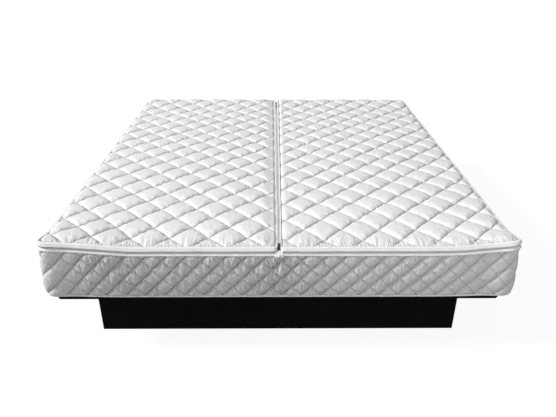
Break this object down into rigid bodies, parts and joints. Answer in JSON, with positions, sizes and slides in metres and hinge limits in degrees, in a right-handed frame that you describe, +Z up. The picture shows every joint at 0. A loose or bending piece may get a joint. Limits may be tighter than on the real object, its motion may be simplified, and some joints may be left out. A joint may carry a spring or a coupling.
{
  "type": "waterbed",
  "caption": "Softside waterbed on an inset black plinth, with a zipped quilted top in halves, foam rails and water cores with heaters inside.",
  "frame": {"origin": "on the floor under the middle of the bed, at the bottom centre of its box", "axes": "+Z up; +Y along the bed to the head end; +X to the right for someone at the foot end looking along +Y"},
  "size_m": [1.8338, 2.0338, 0.5156],
  "materials": {
    "black_board": "smooth black laminate",
    "plain_pine": "planed",
    "zinc_screw": "zinc plated",
    "dark_base_cloth": "non-woven",
    "white_border_cloth": "quilted knit",
    "white_quilted_cloth": "quilted knit",
    "white_binding_tape": "woven tape",
    "grey_zip_coil": "nylon coil on tape",
    "dark_zip_metal": "dark lacquer",
    "pale_foam": "cut foam",
    "blue_grey_foam": "cut foam",
    "pale_insulation": "felted fleece",
    "black_heater_film": "matte film",
    "grey_liner_vinyl": "embossed vinyl",
    "blue_core_vinyl": "smooth vinyl",
    "water": "clear",
    "white_fleece": "loose fibre",
    "white_valve_plastic": "moulded",
    "blue_cap_plastic": "moulded"
  },
  "bodies": {
    "base": {"plinth_left": "black_board", "plinth_right": "black_board", "plinth_foot": "black_board", "plinth_head": "black_board", "plinth_long_divider": "black_board", "plinth_cross_divider_foot": "black_board", "plinth_cross_divider_head": "black_board", "deck_left": "black_board", "deck_right": "black_board", "base_cloth": "dark_base_cloth", "border_cover": "white_border_cloth", "bottom_piping": "white_binding_tape", "border_binding": "white_binding_tape", "foam_rail_left": "pale_foam", "foam_rail_right": "pale_foam", "foam_rail_foot": "pale_foam", "foam_rail_head": "pale_foam", "foam_divider": "blue_grey_foam", "bottom_insulation": "pale_insulation", "safety_liner": "grey_liner_vinyl", "perimeter_zip_lower": "grey_zip_coil", "corner_block_foot_left": "plain_pine", "deck_screw_foot_left": "zinc_screw", "corner_block_foot_right": "plain_pine", "deck_screw_foot_right": "zinc_screw", "corner_block_head_left": "plain_pine", "deck_screw_head_left": "zinc_screw", "corner_block_head_right": "plain_pine", "deck_screw_head_right": "zinc_screw", "heater_left": "black_heater_film", "vinyl_core_left": "blue_core_vinyl", "fleece_mat_left": "white_fleece", "water_left": "water", "valve_collar_left": "white_valve_plastic", "valve_plug_left": "white_valve_plastic", "heater_right": "black_heater_film", "vinyl_core_right": "blue_core_vinyl", "fleece_mat_right": "white_fleece", "water_right": "water", "valve_collar_right": "white_valve_plastic", "valve_plug_right": "white_valve_plastic"},
    "cover_left": {"top_pad_left": "white_quilted_cloth", "pad_binding_left": "white_binding_tape", "perimeter_zip_upper_left": "grey_zip_coil", "centre_zip_left": "grey_zip_coil"},
    "cover_right": {"top_pad_right": "white_quilted_cloth", "pad_binding_right": "white_binding_tape", "perimeter_zip_upper_right": "grey_zip_coil", "centre_zip_right": "grey_zip_coil"},
    "centre_slider": {"centre_slider": "dark_zip_metal"},
    "centre_pull": {"centre_pull": "dark_zip_metal"},
    "perimeter_slider_left": {"perimeter_slider_left": "dark_zip_metal"},
    "perimeter_pull_left": {"perimeter_pull_left": "dark_zip_metal"},
    "perimeter_slider_right": {"perimeter_slider_right": "dark_zip_metal"},
    "perimeter_pull_right": {"perimeter_pull_right": "dark_zip_metal"},
    "valve_cap_left": {"valve_cap_left": "blue_cap_plastic"},
    "valve_cap_right": {"valve_cap_right": "blue_cap_plastic"}
  },
  "joints": [
    {"name": "cover_left_lift", "type": "slide", "parent": "base", "child": "cover_left", "axis": [0, 0, 1], "range_m": [0, 0.3]},
    {"name": "cover_right_lift", "type": "slide", "parent": "base", "child": "cover_right", "axis": [0, 0, 1], "range_m": [0, 0.3]},
    {"name": "centre_slider_travel", "type": "slide", "parent": "cover_left", "child": "centre_slider", "axis": [0, 1, 0], "range_m": [0, 1.93]},
    {"name": "centre_pull_hinge", "type": "hinge", "parent": "centre_slider", "child": "centre_pull", "pos_m": [0, -0.9863, 0.5004], "axis": [-1, 0, 0], "range_deg": [0, 180]},
    {"name": "perimeter_slider_left_travel", "type": "slide", "parent": "base", "child": "perimeter_slider_left", "axis": [-1, 0, 0], "range_m": [0, 0.53]},
    {"name": "perimeter_pull_left_hinge", "type": "hinge", "parent": "perimeter_slider_left", "child": "perimeter_pull_left", "pos_m": [-0.024, -1.0097, 0.4841], "axis": [0, 0, -1], "range_deg": [0, 180]},
    {"name": "perimeter_slider_right_travel", "type": "slide", "parent": "base", "child": "perimeter_slider_right", "axis": [1, 0, 0], "range_m": [0, 0.53]},
    {"name": "perimeter_pull_right_hinge", "type": "hinge", "parent": "perimeter_slider_right", "child": "perimeter_pull_right", "pos_m": [0.024, -1.0097, 0.4841], "axis": [0, 0, 1], "range_deg": [0, 180]},
    {"name": "valve_cap_left_turn", "type": "hinge", "parent": "base", "child": "valve_cap_left", "pos_m": [-0.40637, -0.55714, 0.4492], "axis": [0, 0, 1], "range_deg": [0, 270]},
    {"name": "valve_cap_right_turn", "type": "hinge", "parent": "base", "child": "valve_cap_right", "pos_m": [0.40637, -0.55714, 0.4492], "axis": [0, 0, 1], "range_deg": [0, 270]}
  ]
}
